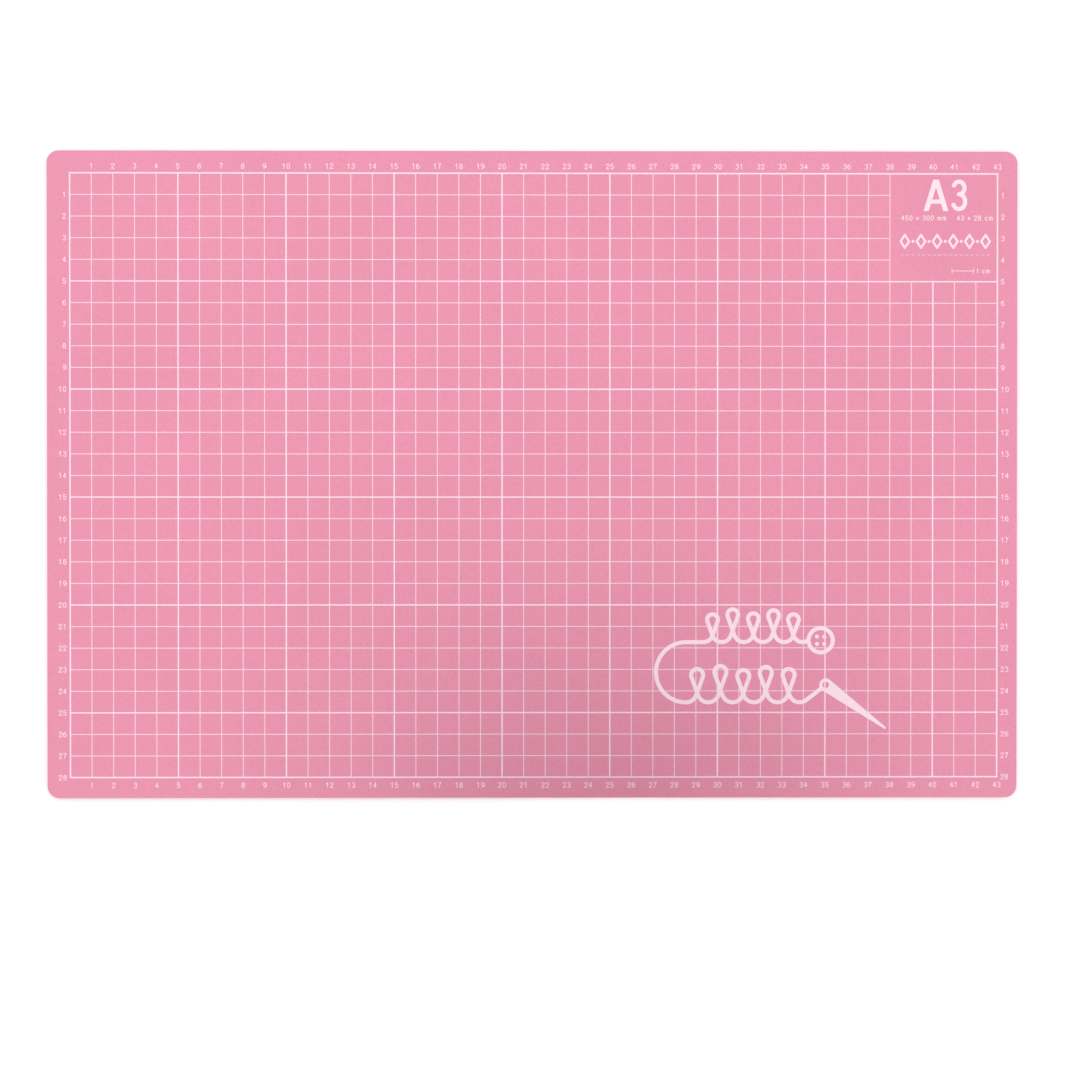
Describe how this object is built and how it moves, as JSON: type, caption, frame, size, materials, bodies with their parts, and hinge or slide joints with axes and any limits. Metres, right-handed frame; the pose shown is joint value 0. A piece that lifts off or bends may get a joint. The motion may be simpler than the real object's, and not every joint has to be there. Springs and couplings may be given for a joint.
{
  "type": "self healing cutting mat",
  "caption": "Flat A3 self healing cutting mat of bonded plies, with rounded corners and a numbered centimetre grid printed on the face.",
  "frame": {"origin": "centre of the underside, on the surface that the mat lies on", "axes": "+X along the long side, to the right when the size label is at the top right; +Y along the short side, away from the user; +Z out of the printed face"},
  "size_m": [0.45, 0.3, 0.003],
  "materials": {
    "pink_film": "soft pink PVC film with a fine matte grain",
    "pink_healing_ply": "pink self healing PVC, matte, cut edge",
    "white_core": "white rigid PVC, matte, cut edge",
    "white_ink": "thin pinkish white screen ink, satin"
  },
  "bodies": {
    "root": {"back_film": "pink_film", "lower_healing_ply": "pink_healing_ply", "rigid_core": "white_core", "upper_healing_ply": "pink_healing_ply", "face_film": "pink_film", "print_border": "white_ink", "print_grid": "white_ink", "print_scale_top": "white_ink", "print_scale_bottom": "white_ink", "print_scale_left": "white_ink", "print_scale_right": "white_ink", "print_size_code": "white_ink", "print_size_line": "white_ink", "print_label_band": "white_ink", "print_label_rule": "white_ink", "print_scale_bar": "white_ink", "print_motif": "white_ink"}
  },
  "joints": []
}
